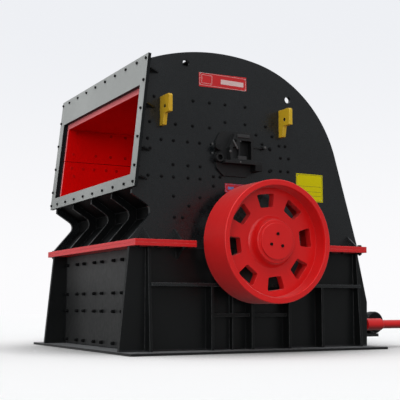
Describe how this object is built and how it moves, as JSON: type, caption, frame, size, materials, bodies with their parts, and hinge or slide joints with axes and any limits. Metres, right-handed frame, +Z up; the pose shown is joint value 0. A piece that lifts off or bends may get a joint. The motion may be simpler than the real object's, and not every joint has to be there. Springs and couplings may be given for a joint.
{
  "type": "hammer crusher",
  "caption": "Hammer crusher with a black arched housing, an inclined feed mouth with a grey flange, red joint flanges and two deep-rimmed red flywheels.",
  "frame": {"origin": "on the ground under the middle of the rotor axis, which is the centre of both anchor bolt patterns", "axes": "+X from the feed side to the rear, +Y along the rotor axis, +Z up"},
  "size_m": [4.5649, 4.21, 3.7729],
  "materials": {
    "flange_red": "gloss",
    "wheel_red": "gloss",
    "lug_yellow": "gloss",
    "plate_red": "satin",
    "plate_yellow": "satin",
    "flange_grey": "satin",
    "liner_red": "satin",
    "rod_red": "gloss",
    "shaft_steel": "machined",
    "rotor_iron": "rough",
    "wear_iron": "rough",
    "dark_cast": "painted satin",
    "housing_black": "satin"
  },
  "bodies": {
    "housing": {"base_plate": "housing_black", "lower_side_near": "housing_black", "lower_side_far": "housing_black", "lower_front_wall": "housing_black", "lower_rear_wall": "housing_black", "bearing_shelf_near": "housing_black", "bearing_shelf_far": "housing_black", "lower_flange_front": "flange_red", "lower_flange_rear": "flange_red", "upper_flange_front": "flange_red", "upper_flange_rear": "flange_red", "upper_side_near": "housing_black", "upper_side_far": "housing_black", "top_cover": "housing_black", "feed_flange": "flange_grey", "feed_roof": "housing_black", "feed_floor": "housing_black", "throat_wall": "housing_black", "throat_rib_near": "housing_black", "throat_rib_middle": "housing_black", "throat_rib_far": "housing_black", "roof_liner": "liner_red", "floor_liner": "liner_red", "side_liner_near": "liner_red", "side_liner_far": "liner_red", "breaker_apron": "wear_iron", "lug_near_front": "lug_yellow", "lug_near_rear": "lug_yellow", "lug_far_front": "lug_yellow", "lug_far_rear": "lug_yellow", "adjuster_near": "dark_cast", "adjuster_far": "dark_cast", "name_plate": "plate_red", "small_plate": "plate_red", "safety_plate": "plate_yellow", "bearing_near": "dark_cast", "bearing_far": "dark_cast", "grate_1": "wear_iron", "grate_2": "wear_iron", "grate_3": "wear_iron", "grate_4": "wear_iron", "rear_bracket": "housing_black", "rear_drum": "dark_cast", "pull_rod": "rod_red"},
    "rotor": {"main_shaft": "shaft_steel", "rotor_discs": "rotor_iron", "hammer_row_1": "rotor_iron", "hammer_row_2": "rotor_iron", "hammer_row_3": "rotor_iron", "hammer_row_4": "rotor_iron", "flywheel_near": "wheel_red", "flywheel_far": "wheel_red"}
  },
  "joints": [
    {"name": "rotor_spin", "type": "hinge", "parent": "housing", "child": "rotor", "pos_m": [0, 0, 1.34], "axis": [0, 1, 0], "continuous": true}
  ]
}
